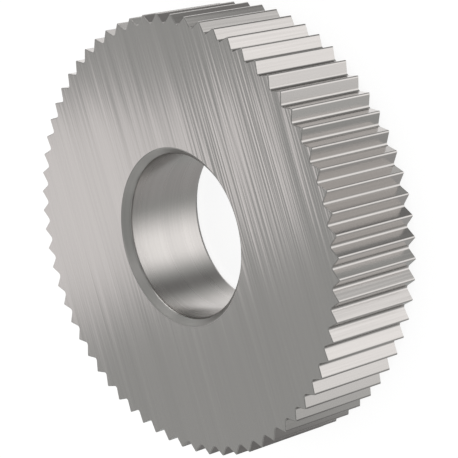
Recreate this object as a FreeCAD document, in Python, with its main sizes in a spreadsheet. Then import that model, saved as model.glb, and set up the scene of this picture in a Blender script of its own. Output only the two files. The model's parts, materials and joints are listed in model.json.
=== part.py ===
# Knurling wheel for cut knurling: one hardened steel disc with a plain bore and straight teeth round its rim.
# The bore's axis is Z, the wheel lies on its lower ground face at Z = 0, and a groove is centred on +X.
import FreeCAD, Part
import math
import os

import Sketcher

# Driving dimensions: lengths in millimetres, the angle in degrees.
DIMENSIONS = {
    "outside_diameter": 21.5,  # over the tooth crests
    "wheel_width": 5.0,  # from ground face to ground face, which is also the length of every tooth
    "bore_diameter": 8.0,  # runs on the pin of the tool holder
    "bore_chamfer": 0.35,  # 45 degrees, at both ends of the bore
    "tooth_pitch": 1.0,  # nominal: as many whole pitches as fit round the outside diameter
    "groove_angle": 90.0,  # between the two flanks of one groove
    "root_radius": 0.14,  # at the bottom of each groove
    "crest_radius": 0.05,  # between a flank and the land on top of the tooth
    "crest_land": 0.03,  # strip of the outside diameter left on top of each tooth
}
TOOTH_COUNT = "floor(pi * dimensions.outside_diameter / dimensions.tooth_pitch)"

# How a sketch constraint names the points of a line or an arc, the sketch's own axes, and its origin.
START, END, CENTRE = range(1, 4)
Y_AXIS, X_AXIS = range(-2, 0)
ORIGIN = (X_AXIS, START)


def polar(radius, angle):
    """Point of the sketch plane at a distance from the origin, and at an angle in radians from the x axis."""
    return FreeCAD.Vector(radius * math.cos(angle), radius * math.sin(angle), 0)


def mirrored(point):
    """The same point on the other side of the sketch's x axis."""
    return FreeCAD.Vector(point.x, -point.y, 0)


def arc(centre, radius, start_angle, end_angle):
    """Counter-clockwise arc of the sketch plane."""
    circle = Part.Circle(centre, FreeCAD.Vector(0, 0, 1), radius)
    return Part.ArcOfCircle(circle, start_angle, end_angle)


def write_dimensions(document):
    """Spreadsheet with one named cell for each driving dimension."""
    sheet = document.addObject("Spreadsheet::Sheet", "dimensions")
    for row, (name, value) in enumerate(DIMENSIONS.items(), start=1):
        sheet.set(f"A{row}", name)
        sheet.set(f"B{row}", str(value))
        sheet.setAlias(f"B{row}", name)
    document.recompute()
    return sheet


def new_sketch(body, name, plane_role):
    """Empty sketch on one of the body's own origin planes."""
    plane = next(item for item in body.Origin.OriginFeatures if item.Role == plane_role)
    sketch = body.newObject("Sketcher::SketchObject", name)
    sketch.AttachmentSupport = [(plane, "")]
    sketch.MapMode = "FlatFace"
    return sketch


def constrain(sketch, *arguments, size=None, name=None):
    """Adds one constraint, and binds its value to an expression of the driving dimensions where a size is given."""
    index = sketch.addConstraint(Sketcher.Constraint(*arguments))
    if size is not None:
        sketch.renameConstraint(index, name)
        sketch.setExpression(f"Constraints.{name}", size)
    return index


def turn_blank(body):
    """Blank as it leaves the lathe: half its section, with the chamfered bore, revolved about the axis."""
    outside = DIMENSIONS["outside_diameter"] / 2
    bore = DIMENSIONS["bore_diameter"] / 2
    width = DIMENSIONS["wheel_width"]
    chamfer = DIMENSIONS["bore_chamfer"]
    corners = [
        (bore + chamfer, 0),
        (outside, 0),
        (outside, width),
        (bore + chamfer, width),
        (bore, width - chamfer),
        (bore, chamfer),
    ]
    section = new_sketch(body, "blank_section", "XZ_Plane")
    following = corners[1:] + corners[:1]
    sides = []
    for (x, z), (next_x, next_z) in zip(corners, following):
        line = Part.LineSegment(FreeCAD.Vector(x, z, 0), FreeCAD.Vector(next_x, next_z, 0))
        sides.append(section.addGeometry(line, False))
    lower_face, rim, upper_face, upper_chamfer, bore_wall, lower_chamfer = sides

    for side, next_side in zip(sides, sides[1:] + sides[:1]):
        constrain(section, "Coincident", side, END, next_side, START)
    for face in (lower_face, upper_face):
        constrain(section, "Horizontal", face)
    for wall in (rim, bore_wall):
        constrain(section, "Vertical", wall)
    constrain(section, "PointOnObject", lower_face, START, X_AXIS)
    # The section's y axis is the wheel's own axis, so both radii are distances from it.
    constrain(
        section, "Distance", rim, START, Y_AXIS, outside,
        name="outside_radius", size="dimensions.outside_diameter / 2",
    )
    constrain(
        section, "DistanceY", rim, START, rim, END, width,
        name="width", size="dimensions.wheel_width",
    )
    constrain(
        section, "Distance", bore_wall, START, Y_AXIS, bore,
        name="bore_radius", size="dimensions.bore_diameter / 2",
    )
    # Both chamfers are at 45 degrees: each one's height and depth are the same dimension.
    chamfers = (
        ("upper_chamfer_height", "DistanceY", bore_wall, START, upper_face, END),
        ("upper_chamfer_depth", "DistanceX", bore_wall, START, upper_face, END),
        ("lower_chamfer_height", "DistanceY", lower_face, START, bore_wall, END),
        ("lower_chamfer_depth", "DistanceX", bore_wall, END, lower_face, START),
    )
    for name, kind, *ends in chamfers:
        constrain(section, kind, *ends, chamfer, name=name, size="dimensions.bore_chamfer")

    blank = body.newObject("PartDesign::Revolution", "turned_blank")
    blank.Profile = section
    blank.ReferenceAxis = (section, ["V_Axis"])
    blank.Angle = 360
    return blank


def draw_groove(body):
    """Outline of one groove, from the top of one tooth to the top of the next, closed outside the blank."""
    count = math.floor(math.pi * DIMENSIONS["outside_diameter"] / DIMENSIONS["tooth_pitch"])
    outside = DIMENSIONS["outside_diameter"] / 2
    half_pitch = math.pi / count
    half_groove = math.radians(DIMENSIONS["groove_angle"] / 2)
    root_radius = DIMENSIONS["root_radius"]
    crest_radius = DIMENSIONS["crest_radius"]
    half_land = DIMENSIONS["crest_land"] / 2

    # Upper side. The crest arc's circle cuts the outside diameter at the edge of the land.
    to_land_edge = math.sqrt(outside**2 - half_land**2)
    centre_distance = to_land_edge - math.sqrt(crest_radius**2 - half_land**2)
    crest_centre = polar(centre_distance, half_pitch)
    into_groove = half_groove - math.pi / 2
    flank_top = crest_centre + polar(crest_radius, into_groove)
    crest_end_angle = half_pitch - math.asin(half_land / 2 / crest_radius)
    crest_end = crest_centre + polar(crest_radius, crest_end_angle)
    sharp_root = flank_top.x - flank_top.y / math.tan(half_groove)
    root_centre = FreeCAD.Vector(sharp_root + root_radius / math.sin(half_groove), 0, 0)
    flank_foot = root_centre - polar(root_radius, into_groove)
    # The closing line lies a whole pitch outside the blank.
    closing_x = outside + DIMENSIONS["tooth_pitch"]

    outline = new_sketch(body, "groove_outline", "XY_Plane")
    root = outline.addGeometry(
        arc(root_centre, root_radius, math.pi / 2 + half_groove, 3 * math.pi / 2 - half_groove), False
    )
    upper_flank = outline.addGeometry(Part.LineSegment(flank_foot, flank_top), False)
    upper_crest = outline.addGeometry(arc(crest_centre, crest_radius, into_groove, crest_end_angle), False)
    upper_out = FreeCAD.Vector(closing_x, crest_end.y, 0)
    upper_side = outline.addGeometry(Part.LineSegment(crest_end, upper_out), False)
    lower_flank = outline.addGeometry(Part.LineSegment(mirrored(flank_foot), mirrored(flank_top)), False)
    lower_crest = outline.addGeometry(
        arc(mirrored(crest_centre), crest_radius, -crest_end_angle, -into_groove), False
    )
    lower_side = outline.addGeometry(Part.LineSegment(mirrored(crest_end), mirrored(upper_out)), False)
    closing = outline.addGeometry(Part.LineSegment(upper_out, mirrored(upper_out)), False)
    tooth_axis = outline.addGeometry(Part.LineSegment(FreeCAD.Vector(0, 0, 0), crest_centre), True)

    # The tooth's middle plane is half a pitch from the groove's, and carries the crest arc's centre.
    constrain(outline, "Coincident", tooth_axis, START, *ORIGIN)
    constrain(outline, "Coincident", upper_crest, CENTRE, tooth_axis, END)
    constrain(
        outline, "Angle", X_AXIS, START, tooth_axis, START, half_pitch,
        name="half_pitch", size=f"180 / {TOOTH_COUNT}",
    )
    constrain(
        outline, "Distance", tooth_axis, centre_distance,
        name="crest_centre_distance",
        size="sqrt(dimensions.outside_diameter ^ 2 - dimensions.crest_land ^ 2) / 2"
        " - sqrt(4 * dimensions.crest_radius ^ 2 - dimensions.crest_land ^ 2) / 2",
    )
    constrain(
        outline, "Radius", upper_crest, crest_radius,
        name="crest_radius", size="dimensions.crest_radius",
    )
    constrain(
        outline, "Distance", upper_crest, END, tooth_axis, half_land / 2,
        name="crest_end_offset", size="dimensions.crest_land / 4",
    )
    constrain(
        outline, "Angle", X_AXIS, START, upper_flank, START, half_groove,
        name="half_groove_angle", size="dimensions.groove_angle / 2",
    )
    constrain(outline, "Tangent", upper_flank, END, upper_crest, START)
    constrain(outline, "Tangent", upper_flank, START, root, START)
    constrain(outline, "PointOnObject", root, CENTRE, X_AXIS)
    constrain(
        outline, "Radius", root, root_radius,
        name="root_radius", size="dimensions.root_radius",
    )
    # Lower side, the mirror image of the upper one.
    constrain(outline, "Symmetric", upper_crest, CENTRE, lower_crest, CENTRE, X_AXIS)
    constrain(outline, "Equal", upper_crest, lower_crest)
    constrain(outline, "Tangent", lower_flank, END, lower_crest, END)
    constrain(outline, "Tangent", lower_flank, START, root, END)
    constrain(outline, "Vertical", upper_crest, END, lower_crest, START)
    # Sides and closing line, clear of the blank.
    constrain(outline, "Coincident", upper_side, START, upper_crest, END)
    constrain(outline, "Coincident", lower_side, START, lower_crest, START)
    constrain(outline, "Coincident", upper_side, END, closing, START)
    constrain(outline, "Coincident", lower_side, END, closing, END)
    for side in (upper_side, lower_side):
        constrain(outline, "Horizontal", side)
    constrain(
        outline, "DistanceX", *ORIGIN, closing, START, closing_x,
        name="closing_distance", size="dimensions.outside_diameter / 2 + dimensions.tooth_pitch",
    )
    constrain(outline, "Vertical", closing)
    return outline


def cut_teeth(body, blank):
    """One groove cut through the full width of the blank, then repeated round the bore's axis."""
    groove = body.newObject("PartDesign::Pocket", "first_groove")
    groove.Profile = draw_groove(body)
    groove.Type = "ThroughAll"
    groove.Reversed = True
    body.Document.recompute()
    if groove.Shape.Volume >= blank.Shape.Volume:
        raise RuntimeError("the first groove cut nothing from the blank")

    teeth = body.newObject("PartDesign::PolarPattern", "teeth")
    teeth.Originals = [groove]
    teeth.Axis = (groove.Profile[0], ["N_Axis"])
    teeth.Angle = 360
    teeth.setExpression("Occurrences", TOOTH_COUNT)
    body.Tip = teeth
    body.Document.recompute()
    one_groove = blank.Shape.Volume - groove.Shape.Volume
    all_grooves = blank.Shape.Volume - teeth.Shape.Volume
    if not math.isclose(all_grooves, teeth.Occurrences * one_groove, rel_tol=1e-3):
        raise RuntimeError("the pattern of grooves isn't whole")
    return teeth


def make_wheel(document):
    """The whole wheel: a turned blank with its bore, and the teeth cut round its rim."""
    body = document.addObject("PartDesign::Body", "wheel")
    body.Label = "knurling_wheel"
    body.Placement = FreeCAD.Placement()
    blank = turn_blank(body)
    document.recompute()
    teeth = cut_teeth(body, blank)
    print(f"{body.Label}: {teeth.Occurrences} teeth, {body.Shape.Volume:.1f} mm3")
    return body


def check(document, bodies):
    """Stops before anything is written if a feature failed or a shape isn't one valid solid."""
    document.recompute()
    failed = [item.Name for item in document.Objects if {"Invalid", "Error"} & set(item.State)]
    if failed:
        raise RuntimeError(f"failed features: {failed}")
    for body in bodies:
        if body.Shape.isNull() or not body.Shape.isValid() or len(body.Shape.Solids) != 1:
            raise RuntimeError(f"{body.Label} isn't one valid solid")


def main():
    document = FreeCAD.newDocument("knurling_wheel")
    write_dimensions(document)
    bodies = [make_wheel(document)]
    check(document, bodies)
    os.makedirs("parts", exist_ok=True)
    for body in bodies:
        body.Shape.exportStep(os.path.join("parts", f"{body.Label}.step"))


main()
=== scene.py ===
# %% [markdown]
# # A knurling wheel of ground steel
#
# The wheel is one piece of hardened tool steel, 21.5 mm across and 5 mm thick, with 67 straight teeth
# cut round its rim and a plain bore that runs on a pin. It runs against a turning bar and marks it with
# the pattern of its teeth, so its own surfaces are clean: two ground faces, cut flanks, a smooth bore.
#
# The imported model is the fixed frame. It says where the wheel is and how large, and every value below
# that it knows is read from it. The lesson builds a finer mesh of the same form in the same place,
# gives each surface the marks of the tool that made it, and lights it in a small tent of cloth.

# %% Load the frame
import json
import math

import bmesh
import bpy
from mathutils import Matrix, Vector


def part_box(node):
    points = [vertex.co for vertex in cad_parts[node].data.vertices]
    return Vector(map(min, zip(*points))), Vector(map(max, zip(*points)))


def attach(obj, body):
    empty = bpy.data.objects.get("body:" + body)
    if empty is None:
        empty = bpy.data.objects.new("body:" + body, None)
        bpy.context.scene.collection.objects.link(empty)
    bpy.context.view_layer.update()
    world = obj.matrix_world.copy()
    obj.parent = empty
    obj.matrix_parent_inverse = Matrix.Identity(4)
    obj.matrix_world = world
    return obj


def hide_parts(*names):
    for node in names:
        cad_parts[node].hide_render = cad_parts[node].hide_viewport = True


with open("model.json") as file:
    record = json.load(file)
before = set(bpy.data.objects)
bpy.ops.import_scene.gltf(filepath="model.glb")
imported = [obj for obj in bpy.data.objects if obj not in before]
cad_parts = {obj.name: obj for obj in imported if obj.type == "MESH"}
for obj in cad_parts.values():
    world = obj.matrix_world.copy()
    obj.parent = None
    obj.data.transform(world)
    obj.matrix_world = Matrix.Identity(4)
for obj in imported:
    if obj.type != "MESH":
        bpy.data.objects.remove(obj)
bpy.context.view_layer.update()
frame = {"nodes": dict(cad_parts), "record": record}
print("pieces of the frame:", sorted(frame["nodes"]))

# %% [markdown]
# ## Sizes
#
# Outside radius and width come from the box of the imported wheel, and the bore from its mount in the
# record. With an odd number of teeth, a crest has a groove opposite it. So the box is 0.01 mm short of
# the diameter, and rounding to a tenth gives the diameter back.
#
# A box has no teeth in it, so the form of one tooth is named here with the values it is cut to: a 90
# degree groove, a small radius at the root where the cutter's tip wears round, and an eased crest,
# because a knife edge of hard steel would chip. The edges of the faces and of the bore are eased too,
# and each crest is rubbed smooth a little way down its flanks.

# %% Read and name the sizes
MM = 0.001
NODE = "knurling_wheel"

box_low, box_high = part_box(NODE)
bore_mount = next(mount for mount in frame["record"]["mounts"] if mount["name"] == "bore")

OUTSIDE_RADIUS = round((box_high.x - box_low.x) / MM, 1) / 2
WIDTH = round((box_high.z - box_low.z) / MM, 3)
BORE_RADIUS = bore_mount["dims"]["r_mm"]
CHAMFER = (WIDTH - bore_mount["dims"]["length_mm"]) / 2

TOOTH_COUNT = 67
HALF_GROOVE = math.radians(45)
ROOT_RADIUS = 0.14
CREST_RADIUS = 0.05
HALF_LAND = 0.015
EDGE_BREAK = 0.040
BORE_EDGE = 0.080
BURNISH = 0.05

print(f"outside radius {OUTSIDE_RADIUS}, width {WIDTH} mm")
print(f"bore radius {BORE_RADIUS}, chamfer {CHAMFER:.2f} mm")

# %% [markdown]
# ## The outline of one tooth
#
# Seen along the axis, one pitch of the rim is a root arc, a flank, a crest arc, a narrow land, and the
# same again mirrored. It could be modelled by cutting 67 grooves with a boolean, but booleans leave
# ragged triangles that spoil reflections. Here each point of the outline is worked out together with
# the direction that the surface faces there. With both in hand, an eased edge is just the same outline
# moved inwards.

# %% Half of one pitch, from the middle of a groove to the middle of a tooth
def turned(angle, length=1.0):
    """A flat vector of this length, turned by the angle from +X."""
    return Vector((math.cos(angle), math.sin(angle))) * length


def spread(start, end, count):
    """So many numbers, evenly spaced, with start and end among them."""
    return [start + (end - start) * i / (count - 1) for i in range(count)]


def half_pitch_outline(root_steps=6, crest_steps=5, flank_shares=(0.35, 0.7)):
    """Pairs of (point, outward direction) in millimetres. The groove is centred on +X."""
    tooth_middle = math.pi / TOOTH_COUNT
    into_groove = HALF_GROOVE - math.pi / 2
    land_height = math.sqrt(OUTSIDE_RADIUS**2 - HALF_LAND**2)
    crest_centre = turned(tooth_middle, land_height - math.sqrt(CREST_RADIUS**2 - HALF_LAND**2))
    flank_top = crest_centre + turned(into_groove, CREST_RADIUS)
    sharp_root = flank_top.x - flank_top.y / math.tan(HALF_GROOVE)
    root_centre = Vector((sharp_root + ROOT_RADIUS / math.sin(HALF_GROOVE), 0))
    flank_foot = root_centre - turned(into_groove, ROOT_RADIUS)
    land_angle = tooth_middle - math.asin(HALF_LAND / CREST_RADIUS)

    pairs = []
    for angle in spread(0, into_groove, root_steps):
        pairs.append((root_centre - turned(angle, ROOT_RADIUS), turned(angle)))
    # From here to the middle of the land the crest is burnished: it turns its facing little by little.
    arc_length = CREST_RADIUS * (land_angle - into_groove)
    band = BURNISH + arc_length + HALF_LAND

    def burnished(distance):
        return turned(into_groove + (tooth_middle - into_groove) * distance / band)

    burnish_start = 1 - BURNISH / (flank_top - flank_foot).length
    for share in (*flank_shares, burnish_start):
        pairs.append((flank_foot.lerp(flank_top, share), turned(into_groove)))
    for angle in spread(into_groove, land_angle, crest_steps):
        along_arc = CREST_RADIUS * (angle - into_groove)
        pairs.append((crest_centre + turned(angle, CREST_RADIUS), burnished(BURNISH + along_arc)))
    pairs.append((turned(tooth_middle, OUTSIDE_RADIUS), turned(tooth_middle)))
    return pairs


half_outline = half_pitch_outline()
print(f"half a pitch has {len(half_outline)} points, root radius at {half_outline[0][0].length:.3f} mm")


# %% The whole rim, as columns round the axis
def rim_columns():
    """The half pitch, its mirror image, and both repeated for every tooth, counter-clockwise."""
    mirror = [(Vector((p.x, -p.y)), Vector((n.x, -n.y))) for p, n in reversed(half_outline[1:])]
    one_pitch = mirror + half_outline[:-1]
    columns = []
    for tooth in range(TOOTH_COUNT):
        turn = Matrix.Rotation(2 * math.pi * tooth / TOOTH_COUNT, 2)
        columns += [(turn @ point, turn @ outward) for point, outward in one_pitch]
    return columns


columns = rim_columns()
print(f"{len(columns)} columns round the rim, reach {max(p.length for p, _ in columns):.3f} mm")

# %% [markdown]
# ## The wheel
#
# A wheel with straight teeth is one section carried round its axis. The section runs up the rim, over
# the ground face, down the chamfer and the bore, and back under. It is built as rings, each with one
# point for every column, and neighbouring rings are joined by a belt of four-sided faces. Every belt
# knows which surface it is, so each can have its own finish and the lines between them stay crisp.

# %% Rings from the rim to the bore
UP = Vector((0, 0, 1))
GROUND_FACE, TOOTH_FLANK, BORE_WALL, BORE_CHAMFER = range(4)


def rim_ring(height, inset, surface, facing=None):
    """Points of the rim, moved inwards. They face as the rim does, or all one way."""
    points = [(point - outward * inset).to_3d() + UP * height for point, outward in columns]
    return points, [facing or outward.to_3d() for _, outward in columns], surface


def round_ring(radius, height, surface, inward, upward):
    """Points of a circle. They face the axis as much as inward says, and along it as upward says."""
    spokes = [point.normalized().to_3d() for point, _ in columns]
    points = [spoke * radius + UP * height for spoke in spokes]
    return points, [(UP * upward - spoke * inward).normalized() for spoke in spokes], surface


OUTER = BORE_RADIUS + CHAMFER
MIDDLE = (OUTSIDE_RADIUS + OUTER) / 2
rings = [
    rim_ring(EDGE_BREAK, 0, TOOTH_FLANK),
    rim_ring(WIDTH - EDGE_BREAK, 0, TOOTH_FLANK),
    rim_ring(WIDTH, EDGE_BREAK, GROUND_FACE, UP),
    round_ring(MIDDLE, WIDTH, GROUND_FACE, 0, 1),
    round_ring(OUTER + EDGE_BREAK, WIDTH, BORE_CHAMFER, 0, 1),
    round_ring(OUTER - EDGE_BREAK, WIDTH - EDGE_BREAK, BORE_CHAMFER, 1, 1),
    round_ring(BORE_RADIUS + BORE_EDGE, WIDTH - CHAMFER + BORE_EDGE, BORE_WALL, 1, 1),
    round_ring(BORE_RADIUS, WIDTH - CHAMFER - BORE_EDGE, BORE_WALL, 1, 0),
    round_ring(BORE_RADIUS, CHAMFER + BORE_EDGE, BORE_WALL, 1, 0),
    round_ring(BORE_RADIUS + BORE_EDGE, CHAMFER - BORE_EDGE, BORE_CHAMFER, 1, -1),
    round_ring(OUTER - EDGE_BREAK, EDGE_BREAK, BORE_CHAMFER, 1, -1),
    round_ring(OUTER + EDGE_BREAK, 0, GROUND_FACE, 0, -1),
    round_ring(MIDDLE, 0, GROUND_FACE, 0, -1),
    rim_ring(0, EDGE_BREAK, TOOTH_FLANK, -UP),
]
print(f"{len(rings)} rings of {len(columns)} points")


# %% Join the rings
def add_object(name, shape):
    """Makes a finished bmesh into an object of the scene."""
    mesh = bpy.data.meshes.new(name)
    shape.to_mesh(mesh)
    shape.free()
    made = bpy.data.objects.new(name, mesh)
    bpy.context.scene.collection.objects.link(made)
    return made


def build_wheel():
    shape = bmesh.new()
    rows = [[shape.verts.new(point * MM) for point in points] for points, _, _ in rings]
    count = len(columns)
    for row, following, (_, _, surface) in zip(rows, rows[1:] + rows[:1], rings):
        for j in range(count):
            k = (j + 1) % count
            face = shape.faces.new((row[j], row[k], following[k], following[j]))
            face.material_index = surface
            face.smooth = True
    return add_object("wheel", shape)


wheel = build_wheel()
print(f"wheel: {len(wheel.data.polygons)} faces")

# %% [markdown]
# ## Flat where it was ground, bright where it turns
#
# Smooth shading alone would bend the light over the flat flanks, because it averages the direction of
# every face that meets at a point. A Weighted Normal modifier is the usual cure, but here the rings
# already know which way each of their points faces, so those directions are handed to the mesh as its
# custom normals. The flats stay flat, and only the root arcs, the crests and the eased edges bend the
# light, which is what draws the thin bright line along each tooth of a real wheel.

# %% Hand over the directions
facings = [tuple(facing) for _, directions, _ in rings for facing in directions]
wheel.data.normals_split_custom_set_from_vertices(facings)
print("custom normals:", len(facings))

# %% [markdown]
# ## Marks of the tool
#
# Every surface of the wheel was made by something that moved over it in lines: the grinding wheel over
# the faces, the cutter along the flanks, the hone round the bore. Up close such a surface is a bundle
# of fine grooves, all along one direction. A picture of scratches could show that, but it would blur
# up close and repeat. Stretched noise does it at any scale: squeezed across the lines, pulled long
# beside them. The group gives a tone for the colour, broad bands for the roughness, and a surface
# direction that rocks a little from line to line, mostly across them. Each finish places the group
# with its own scale and strength.

# %% Small helpers for building node trees
def connect(tree, value, socket):
    """Links a socket, or sets a plain value."""
    if isinstance(value, bpy.types.NodeSocket):
        tree.links.new(value, socket)
    else:
        socket.default_value = value


def add_node(tree, kind, inputs=None, **settings):
    """A node with its settings, and with each of its inputs linked or set."""
    node = tree.nodes.new(kind)
    for name, value in settings.items():
        setattr(node, name, value)
    for socket, value in (inputs or {}).items():
        connect(tree, value, node.inputs[socket])
    return node


def number(tree, operation, *values):
    return add_node(tree, "ShaderNodeMath", dict(enumerate(values)), operation=operation).outputs[0]


def direction(tree, operation, *values):
    node = add_node(tree, "ShaderNodeVectorMath", dict(enumerate(values)), operation=operation)
    return node.outputs["Value" if operation in ("DOT_PRODUCT", "LENGTH") else "Vector"]


def scaled(tree, vector, factor):
    inputs = {0: vector, "Scale": factor}
    return add_node(tree, "ShaderNodeVectorMath", inputs, operation="SCALE").outputs[0]


def remap(tree, value, from_low, from_high, to_low=0.0, to_high=1.0, smooth=False):
    kind = "SMOOTHSTEP" if smooth else "LINEAR"
    inputs = {0: value, 1: from_low, 2: from_high, 3: to_low, 4: to_high}
    return add_node(tree, "ShaderNodeMapRange", inputs, interpolation_type=kind).outputs[0]


def mix_colours(tree, factor, first, second):
    """In a Mix node, sockets 6 and 7 take the two colours, and output 2 gives the mixed one."""
    inputs = {0: factor, 6: first, 7: second}
    return add_node(tree, "ShaderNodeMix", inputs, data_type="RGBA").outputs[2]


def new_group(name, inputs, outputs):
    """A shader node group. Inputs are name: default, and a default of None makes a vector socket."""
    group = bpy.data.node_groups.new(name, "ShaderNodeTree")
    for socket_name, default in inputs.items():
        kind = "NodeSocketVector" if default is None else "NodeSocketFloat"
        socket = group.interface.new_socket(socket_name, in_out="INPUT", socket_type=kind)
        if default is not None:
            socket.default_value = default
    for socket_name, kind in outputs.items():
        group.interface.new_socket(socket_name, in_out="OUTPUT", socket_type=kind)
    given = group.nodes.new("NodeGroupInput").outputs
    return group, given, group.nodes.new("NodeGroupOutput").inputs


print("helpers for node trees are ready")

# %% The tool mark group
NOISE_REACH = 0.25
MIDDLE_DEPTH = 0.26
BROAD_DEPTH = 0.05


def make_tool_marks():
    """Place is the position counted in lines: in line widths across them, in line lengths along."""
    group, given, result = new_group(
        "tool_marks",
        {
            "Place": None, "Normal": None, "Along": None, "Across": None,
            "Tilt Along": 0.01, "Tilt Across": 0.1,
        },
        {"Tone": "NodeSocketFloat", "Bands": "NodeSocketFloat", "Normal": "NodeSocketVector"},
    )

    def line_noise(times, detail, offset):
        """Noise between -1 and 1. Its lines are so many times as wide and long as the finest ones."""
        place = direction(group, "ADD", scaled(group, given["Place"], 1 / times), offset)
        inputs = {"Vector": place, "Scale": 1.0, "Detail": detail, "Roughness": 0.5}
        noise = add_node(group, "ShaderNodeTexNoise", inputs).outputs[0]
        return remap(group, noise, 0.5 - NOISE_REACH, 0.5 + NOISE_REACH, -1.0, 1.0)

    fine = line_noise(1.0, 0.0, offset=(3.1, 7.7, 1.3))
    middle = line_noise(2.0, 1.0, offset=(6.4, 1.8, 4.2))
    broad = line_noise(9.0, 1.0, offset=(9.2, 2.4, 5.5))
    drift = line_noise(1.7, 1.0, offset=(1.9, 4.6, 8.8))
    lines = number(group, "ADD", fine, number(group, "MULTIPLY", middle, MIDDLE_DEPTH))
    lines = number(group, "ADD", lines, number(group, "MULTIPLY", broad, BROAD_DEPTH))

    lean_across = scaled(group, given["Across"], number(group, "MULTIPLY", lines, given["Tilt Across"]))
    lean_along = scaled(group, given["Along"], number(group, "MULTIPLY", drift, given["Tilt Along"]))
    leaned = direction(group, "ADD", given["Normal"], direction(group, "ADD", lean_across, lean_along))
    connect(group, number(group, "MULTIPLY_ADD", lines, 0.5, 0.5), result["Tone"])
    connect(group, number(group, "MULTIPLY_ADD", broad, 0.5, 0.5), result["Bands"])
    connect(group, direction(group, "NORMALIZE", leaned), result["Normal"])
    return group


tool_marks = make_tool_marks()
print("group:", tool_marks.name)

# %% [markdown]
# ## The steel
#
# Hardened steel is a metal all through, so the base colour is what it reflects: a warm light grey.
# The ground face has it lightest and the chamfer a little less. The cut flanks and the honed bore get a
# darker grey. Part of that is their duller steel, and part is painted shade, which darkens the light
# that bounces between the flanks of a groove and round the bore. Beyond colour, what tells a ground
# face from a honed bore is how it spreads the light. Lines spread it across themselves and hardly along
# themselves, and the Anisotropic setting of the shader does the part of that which is too fine to see.
# Its Tangent is the direction in which the light is spread most.
#
# A line is long one way and narrow the other two, so the position is divided by the line's length
# along it and by its width across it. For lines that go round the axis, both directions of the disc
# count as along and only the height as across. That keeps them whole all the way round, with no seam.
#
# In the photograph the ground face is streaked on one side and nearly smooth on the other: the
# grinding wheel bites where it comes in and only polishes where it leaves. So the faces' lines lose
# depth in two directions. Each has the places in millimetres where the loss starts and ends, and the
# share of the depth that is left.

# %% Where the lines run on each surface
AXIS = (0, 0, 1)
GRINDING_SKEW = math.radians(1.5)
BITE_FADES = [((0.35, 0.94, 0), -3.6, 1.2, 0.28), ((-1, 0, 0), 0.5, 4.0, 0.4)]


def surface_facing(tree):
    return add_node(tree, "ShaderNodeNewGeometry").outputs["Normal"]


def ground_lines(tree, place, width, length):
    """The faces were ground in one direction, nearly along X, and bitten deepest in one quarter."""
    along = (math.cos(GRINDING_SKEW), math.sin(GRINDING_SKEW), 0)
    across = (-math.sin(GRINDING_SKEW), math.cos(GRINDING_SKEW), 0)
    parts = {
        "X": number(tree, "DIVIDE", direction(tree, "DOT_PRODUCT", place, along), length),
        "Y": number(tree, "DIVIDE", direction(tree, "DOT_PRODUCT", place, across), width),
    }
    depth = 1.0
    for away, start, end, left_over in BITE_FADES:
        gone = direction(tree, "DOT_PRODUCT", place, away)
        faded = remap(tree, gone, start, end, 1.0, left_over, smooth=True)
        depth = number(tree, "MINIMUM", depth, faded)
    return add_node(tree, "ShaderNodeCombineXYZ", parts).outputs[0], along, across, depth


def lengthways_lines(tree, place, width, length):
    """The cutter ran along the axis, so across the lines is up and down the flank."""
    counted = direction(tree, "DIVIDE", place, (width, width, length))
    return counted, AXIS, direction(tree, "CROSS_PRODUCT", surface_facing(tree), AXIS), 1.0


def turned_lines(tree, place, width, length):
    """The tool went round the axis, so across the lines is along the wall."""
    facing = surface_facing(tree)
    along = direction(tree, "NORMALIZE", direction(tree, "CROSS_PRODUCT", facing, AXIS))
    counted = direction(tree, "DIVIDE", place, (length, length, width))
    return counted, along, direction(tree, "CROSS_PRODUCT", facing, along), 1.0


print("places where the grinding lines fade:", len(BITE_FADES))

# %% A steel finish
ROUGHNESS_CHANGE = 0.15


def new_material(name):
    """A material and its node tree, which is empty."""
    material = bpy.data.materials.new(name)
    material.use_nodes = True
    material.node_tree.nodes.clear()
    return material, material.node_tree


def steel_finish(
    name, lines, steel, width, length, tilt_along, tilt_across, roughness, tone_change, spread_ratio
):
    """Steel with tool marks. The width and length of a line are in millimetres."""
    material, tree = new_material(name)
    place = scaled(tree, add_node(tree, "ShaderNodeTexCoord").outputs["Object"], 1 / MM)
    counted, along, across, depth = lines(tree, place, width, length)
    marks = add_node(
        tree, "ShaderNodeGroup",
        {
            "Place": counted, "Normal": surface_facing(tree), "Along": along, "Across": across,
            "Tilt Along": tilt_along, "Tilt Across": number(tree, "MULTIPLY", depth, tilt_across),
        },
        node_tree=tool_marks,
    ).outputs
    dark, light = ([c * (1 + change) for c in steel] + [1] for change in (-tone_change, tone_change))
    smoothest, roughest = (roughness * (1 + change) for change in (-ROUGHNESS_CHANGE, ROUGHNESS_CHANGE))
    tangent = across
    if not isinstance(across, bpy.types.NodeSocket):
        tangent = add_node(tree, "ShaderNodeCombineXYZ", dict(enumerate(across))).outputs[0]
    shader = add_node(
        tree, "ShaderNodeBsdfPrincipled",
        {
            "Base Color": mix_colours(tree, marks["Tone"], dark, light),
            "Metallic": 1.0,
            "Roughness": remap(tree, marks["Bands"], 0, 1, smoothest, roughest),
            "Anisotropic": spread_ratio,
            "Normal": marks["Normal"],
            "Tangent": tangent,
        },
    )
    add_node(tree, "ShaderNodeOutputMaterial", {0: shader.outputs[0]})
    return material


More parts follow.
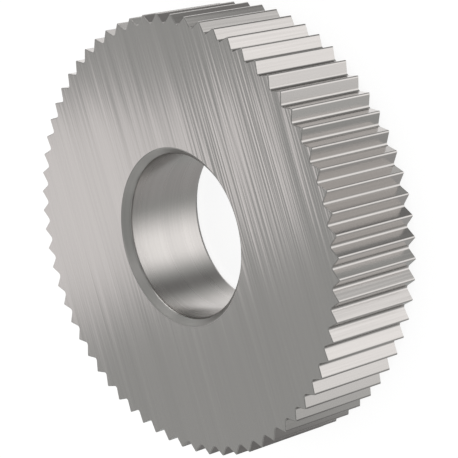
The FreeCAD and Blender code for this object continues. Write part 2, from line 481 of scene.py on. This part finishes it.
finishes = [
    steel_finish(
        "ground_face", ground_lines, steel=(0.625, 0.600, 0.585), width=0.092, length=9.0,
        tilt_along=0.008, tilt_across=0.047, roughness=0.14, tone_change=0.015, spread_ratio=0.5,
    ),
    # The flanks' grey is darker than the face's. Part of that is duller cut steel, and part is painted
    # shade of the light that bounces inside each groove.
    steel_finish(
        "cut_flank_shaded", lengthways_lines, steel=(0.420, 0.407, 0.394), width=0.08, length=6.0,
        tilt_along=0.004, tilt_across=0.013, roughness=0.20, tone_change=0.03, spread_ratio=0.3,
    ),
    # The bore's darker grey is partly duller honed steel and partly painted shade of the light that
    # bounces round the bore.
    steel_finish(
        "honed_bore_shaded", turned_lines, steel=(0.433, 0.420, 0.406), width=0.06, length=4.0,
        tilt_along=0.004, tilt_across=0.008, roughness=0.27, tone_change=0.02, spread_ratio=0.3,
    ),
    steel_finish(
        "turned_chamfer", turned_lines, steel=(0.490, 0.475, 0.460), width=0.05, length=4.0,
        tilt_along=0.002, tilt_across=0.006, roughness=0.38, tone_change=0.02, spread_ratio=0.3,
    ),
]
for finish in finishes:
    wheel.data.materials.append(finish)
print("finishes:", [finish.name for finish in finishes])

# %% [markdown]
# ## Table and air
#
# The wheel lies on a white table in white air. The air is plain white to the camera and to what the
# steel mirrors, and softer in the light that it throws on things, so that nothing is overlit. The
# table is white to the camera, with a share of matt paint that takes the wheel's soft shadow.
#
# The wheel of the photograph stands upright, so its flanks and its bore mirror the walls of the
# studio. Here it lies as it would come to rest, and a white table under it would turn every flank
# white. So the table isn't seen in reflections, and the cloth of the tent goes on below it.

# %% White that the camera, mirrors and clear bodies see at full strength
SOFT_LIGHT = 0.6


def seen_directly(tree):
    path = add_node(tree, "ShaderNodeLightPath").outputs
    mirrored = number(tree, "MAXIMUM", path["Is Glossy Ray"], path["Is Transmission Ray"])
    return number(tree, "MAXIMUM", path["Is Camera Ray"], mirrored)


world = bpy.data.worlds.new("white_air")
bpy.context.scene.world = world
world.use_nodes = True
air_tree = world.node_tree
air = air_tree.nodes["Background"].inputs
air["Color"].default_value = (1, 1, 1, 1)
connect(air_tree, remap(air_tree, seen_directly(air_tree), 0, 1, SOFT_LIGHT, 1.0), air["Strength"])
print("world:", world.name)

# %% The table
PAINT = 0.20
TABLE_WHITE = 1.05
TABLE_GAP = 0.002 * MM
TABLE_RADIUS = 2.0
TABLE_SEGMENTS = 96


def add_disc(name, segments, radius):
    shape = bmesh.new()
    bmesh.ops.create_circle(shape, cap_ends=True, segments=segments, radius=radius)
    return add_object(name, shape)


def make_table():
    """The paint takes the shadow, and the rest of the white is added as light of its own."""
    table = add_disc("table", TABLE_SEGMENTS, TABLE_RADIUS)
    table.location.z = box_low.z - TABLE_GAP
    table.visible_glossy = False
    material, tree = new_material("white_table")
    paint = add_node(tree, "ShaderNodeBsdfDiffuse", {"Color": (PAINT / SOFT_LIGHT,) * 3 + (1,)})
    glow = remap(tree, seen_directly(tree), 0, 1, 0, TABLE_WHITE - PAINT)
    white = add_node(tree, "ShaderNodeEmission", {"Strength": glow})
    both = add_node(tree, "ShaderNodeAddShader", {0: paint.outputs[0], 1: white.outputs[0]})
    add_node(tree, "ShaderNodeOutputMaterial", {0: both.outputs[0]})
    table.data.materials.append(material)
    return table


table = make_table()
print("table:", table.name)

# %% [markdown]
# ## The tent
#
# Steel shows what stands round it, so polished parts are photographed in a tent: grey cloth all round,
# with windows of brighter cloth where a highlight is wanted, and of darker cloth where the steel has
# to go dark. Lamps would do it too, but a lamp is one small bright spot in steel, and a window of
# cloth is a broad band with a soft edge.
#
# Two walls of cloth stand here, one round the wheel above the table and one below it. A window is a
# part of a wall between two azimuths and two elevations, in degrees seen from the wheel. Both walls
# use windows, so the window is a node group too.

# %% A window in the cloth
def make_window_group():
    """The mask is 1 inside the window. A taper draws both sides in as the elevation rises."""
    group, given, result = new_group(
        "cloth_window",
        {
            "Azimuth": 0.0, "Elevation": 0.0, "Centre": 0.0, "Right": -10.0, "Left": 10.0,
            "Soft Right": 2.0, "Soft Left": 2.0, "Low": 0.0, "High": 40.0, "Soft Edge": 4.0,
            "Taper": 0.0, "Taper From": 0.0,
        },
        {"Mask": "NodeSocketFloat"},
    )
    turn = number(group, "SUBTRACT", given["Azimuth"], given["Centre"])
    from_centre = number(group, "WRAP", turn, 180.0, -180.0)
    above = number(group, "SUBTRACT", given["Elevation"], given["Taper From"])
    drawn_in = number(group, "MULTIPLY", given["Taper"], above)

    def negative(value):
        return number(group, "MULTIPLY", value, -1.0)

    sides = (
        (from_centre, number(group, "ADD", given["Right"], drawn_in), given["Soft Right"]),
        (negative(from_centre), number(group, "SUBTRACT", drawn_in, given["Left"]), given["Soft Left"]),
        (given["Elevation"], given["Low"], given["Soft Edge"]),
        (negative(given["Elevation"]), negative(given["High"]), given["Soft Edge"]),
    )
    mask = 1.0
    for value, edge, soft in sides:
        dark_at = number(group, "SUBTRACT", edge, soft)
        full_at = number(group, "ADD", edge, soft)
        mask = number(group, "MULTIPLY", mask, remap(group, value, dark_at, full_at, smooth=True))
    connect(group, mask, result["Mask"])
    return group


cloth_window = make_window_group()
print("group:", cloth_window.name)


# %% A wall of cloth round the wheel
GREY_CLOTH = (0.975, 1.0, 0.985)
WINDOW_CLOTH = (1.0, 0.985, 0.985)
WALL_RADIUS = 300 * MM
WALL_ROWS = 9
WALL_SPOKES = 72
# The folds of the cloth are painted light and shade. The wall is smooth, and its cloth grows brighter and
# darker in waves round the azimuth.
PAINTED_FOLD_PITCH = 30
PAINTED_FOLD_LIFT = 0.4


def only_mirrored(cloth):
    """Walls and cards light nothing and shade nothing: they stand there for the steel to mirror."""
    cloth.visible_diffuse = False
    cloth.visible_shadow = False


def lit_cloth(brightness):
    return [c * brightness for c in WINDOW_CLOTH] + [1]


def make_sphere_part(name, low, high):
    """The part of a sphere between two elevations in degrees. Its faces look inwards."""
    azimuths = [2 * math.pi * i / WALL_SPOKES for i in range(WALL_SPOKES)]
    shape = bmesh.new()
    rows = []
    for elevation in spread(math.radians(low), math.radians(high), WALL_ROWS):
        ring = [turned(azimuth, math.cos(elevation)).to_3d() for azimuth in azimuths]
        height = UP * math.sin(elevation)
        rows.append([shape.verts.new((point + height) * WALL_RADIUS) for point in ring])
    for row, above in zip(rows, rows[1:]):
        for i in range(WALL_SPOKES):
            k = (i + 1) % WALL_SPOKES
            shape.faces.new((row[i], above[i], above[k], row[k]))
    return add_object(name, shape)


def place_window(tree, azimuth, elevation, values):
    inputs = {"Azimuth": azimuth, "Elevation": elevation, **values}
    return add_node(tree, "ShaderNodeGroup", inputs, node_tree=cloth_window).outputs[0]


def make_wall(name, low, high, base, windows, painted_fold_depth=0.0, painted_fold_zone=None):
    """Cloth between two elevations. A window is (brightness, values of its group's inputs)."""
    wall = make_sphere_part(name, low, high)
    only_mirrored(wall)
    material, tree = new_material(name + "_cloth")
    place = add_node(tree, "ShaderNodeTexCoord").outputs["Object"]
    x, y, z = add_node(tree, "ShaderNodeSeparateXYZ", {0: place}).outputs
    azimuth = number(tree, "DEGREES", number(tree, "ARCTAN2", y, x))
    squares = number(tree, "ADD", number(tree, "MULTIPLY", x, x), number(tree, "MULTIPLY", y, y))
    elevation = number(tree, "DEGREES", number(tree, "ARCTAN2", z, number(tree, "SQRT", squares)))

    # Painted fold shading: inside its zone the cloth is brighter and darker in waves, as folds would be
    # lit. The wall itself has no folds.
    shade = base
    if painted_fold_zone:
        wave = number(tree, "SINE", number(tree, "MULTIPLY", azimuth, 2 * math.pi / PAINTED_FOLD_PITCH))
        wave = number(tree, "ADD", wave, PAINTED_FOLD_LIFT)
        painted_fold_shade = number(tree, "MULTIPLY", wave, place_window(tree, azimuth, elevation, painted_fold_zone))
        shade = number(tree, "MULTIPLY_ADD", painted_fold_shade, painted_fold_depth * base, base)
    light = scaled(tree, GREY_CLOTH, shade)
    for brightness, values in windows:
        mask = place_window(tree, azimuth, elevation, values)
        light = mix_colours(tree, mask, light, lit_cloth(brightness))
    glow = add_node(tree, "ShaderNodeEmission", {"Color": light})
    add_node(tree, "ShaderNodeOutputMaterial", {0: glow.outputs[0]})
    wall.data.materials.append(material)
    return wall


print(f"a wall has radius {WALL_RADIUS / MM:.0f} mm, and a fold every {PAINTED_FOLD_PITCH} degrees")


# %% Hang the upper wall
def window(
    centre, right, left, low, high, soft_right=8, soft_left=8, soft_edge=4, taper=0, taper_from=0
):
    """Values of a window: its middle, its two sides and its two ends, and how soft each is."""
    return {
        "Centre": centre, "Right": right, "Left": left, "Low": low, "High": high,
        "Soft Right": soft_right, "Soft Left": soft_left, "Soft Edge": soft_edge,
        "Taper": taper, "Taper From": taper_from,
    }


faint_window = window(98, -4, 10, 10, 30, soft_right=3, soft_left=4, soft_edge=2)
face_window = window(
    88, -5.4, 2.8, 12, 43.1, soft_right=0.9, soft_left=2.1, soft_edge=1.5, taper=0.23, taper_from=39.6
)
edge_window = window(-8, -18, 16, 0, 20)
corner_window = window(43, -13, 13, 36, 62, soft_right=6, soft_left=8, soft_edge=5)
back_window = window(168, -14, 12, 36, 60, soft_right=8, soft_left=5, soft_edge=6)
near_window = window(-60, -16, 16, 40, 62, soft_right=5, soft_left=3, soft_edge=4)
upper_windows = [
    (0.85, faint_window),
    (0.91, face_window),
    (2.8, edge_window),
    (0.75, corner_window),
    (0.70, back_window),
    (0.72, near_window),
]
# The upper wall has painted fold shading between 10 and 32 degrees of elevation.
upper_wall = make_wall(
    "upper_wall", low=8, high=88, base=0.41, windows=upper_windows,
    painted_fold_depth=0.5, painted_fold_zone=window(-92, -146, 146, 10, 32),
)
print("wall:", upper_wall.name)

# %% Hang the lower wall
back_low_window = window(178, -30, 30, -64, -16, soft_right=20, soft_left=20, soft_edge=8)
flank_window = window(-86, -34.5, 31.5, -64, -12, soft_right=28, soft_left=19, soft_edge=8)
side_window = window(45, -35, 30, -64, -16, soft_right=20, soft_left=15, soft_edge=8)
far_window = window(92, -24, 3, -60, -20, soft_right=18, soft_left=4, soft_edge=8)
dark_strip = window(-20, -13, 12, -60, -30, soft_edge=6)
left_window = window(34, -30, 30, -24, -5, soft_right=20, soft_left=20)
right_window = window(154, -25, 25, -21, -8, soft_right=20, soft_left=20)
low_edge_window = window(-8, -18, 16, -14, 0)
shaded_ground = window(0, -190, 190, -95, -68, soft_right=1, soft_left=1, soft_edge=6)
lower_windows = [
    (0.62, back_low_window),
    (1.86, flank_window),
    (1.34, side_window),
    (1.17, far_window),
    (0.28, dark_strip),
    (1.63, left_window),
    (1.4, right_window),
    (1.9, low_edge_window),
    (0.41, shaded_ground),
]
lower_wall = make_wall("lower_wall", low=-89.9, high=-3, base=0.56, windows=lower_windows)
print("wall:", lower_wall.name)

# %% [markdown]
# ## Cards close to the wheel
#
# A wall far away looks the same from every tooth that faces the same way. What differs from tooth to
# tooth has to come from something near. A dark card beside the wheel takes the light off the lowest
# teeth of the picture, and a small one takes some off the topmost. A long bright strip overhead lays a
# band of light over the ground face for whoever looks straight down, and the grinding lines show best
# at its edges.

# %% A card with a soft rim
CARD_REACH = 1.4
CARD_SEGMENTS = 48


def make_card(name, place, half_sizes, edge, brightness):
    """A flat oval card. Its rim is soft over the width of edge, on both sides of it."""
    card = add_disc(name, CARD_SEGMENTS, CARD_REACH)
    card.location = Vector(place) * MM
    card.scale = [half * MM for half in half_sizes] + [MM]
    only_mirrored(card)
    material, tree = new_material(name + "_paper")
    from_middle = direction(tree, "LENGTH", add_node(tree, "ShaderNodeTexCoord").outputs["Object"])
    cover = remap(tree, from_middle, 1 + edge, 1 - edge, smooth=True)
    glow = add_node(tree, "ShaderNodeEmission", {"Color": lit_cloth(brightness)})
    clear = add_node(tree, "ShaderNodeBsdfTransparent")
    both = add_node(tree, "ShaderNodeMixShader", {0: cover, 1: clear.outputs[0], 2: glow.outputs[0]})
    add_node(tree, "ShaderNodeOutputMaterial", {0: both.outputs[0]})
    card.data.materials.append(material)
    return card


cards = [
    make_card("dark_card", place=(-32, 4, -10), half_sizes=(12, 24), edge=0.35, brightness=0.30),
    make_card("small_dark_card", place=(24.5, -11, -12), half_sizes=(6.5, 6.5), edge=0.5, brightness=0.33),
    make_card("top_strip", place=(8, 0, 250), half_sizes=(14, 90), edge=0.4, brightness=1.3),
]
print("cards:", [card.name for card in cards])

# %% [markdown]
# ## The camera
#
# The photograph was taken with a long lens, a little above the face and to one side, with the wheel
# standing on edge. Here the wheel lies flat, so the camera looks down on it and is turned on its own
# axis until the picture is the same. Its place and its directions come from fitting a camera to the
# tooth tips and the two edges of the bore.

# %% Place the camera
SENSOR_WIDTH = 36
FOCAL_LENGTH = 159.616
NEAREST = 1 * MM
FURTHEST = 10
CAMERA_PLACE = Vector((-0.9054, -75.6121, 66.2369)) * MM
CAMERA_RIGHT = Vector((-0.25250, -0.62597, -0.73784))
CAMERA_UP = Vector((0.96757, -0.16905, -0.18770))


def make_camera():
    """The two directions are rounded, so they are made exactly square to each other here."""
    lens = bpy.data.cameras.new("long_lens")
    lens.sensor_width = SENSOR_WIDTH
    lens.lens = FOCAL_LENGTH
    lens.clip_start = NEAREST
    lens.clip_end = FURTHEST
    camera = bpy.data.objects.new("camera", lens)
    back = CAMERA_RIGHT.cross(CAMERA_UP).normalized()
    up = back.cross(CAMERA_RIGHT).normalized()
    facing = Matrix((CAMERA_RIGHT.normalized(), up, back)).transposed().to_4x4()
    camera.matrix_world = Matrix.Translation(CAMERA_PLACE) @ facing
    bpy.context.scene.collection.objects.link(camera)
    return camera


bpy.context.scene.camera = make_camera()
bpy.context.scene.view_settings.view_transform = "Standard"
print("camera at", [round(c / MM, 1) for c in bpy.context.scene.camera.location], "mm")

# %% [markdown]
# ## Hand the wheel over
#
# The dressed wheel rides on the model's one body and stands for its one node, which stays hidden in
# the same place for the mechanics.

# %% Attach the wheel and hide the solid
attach(wheel, "root")
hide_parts(NODE)
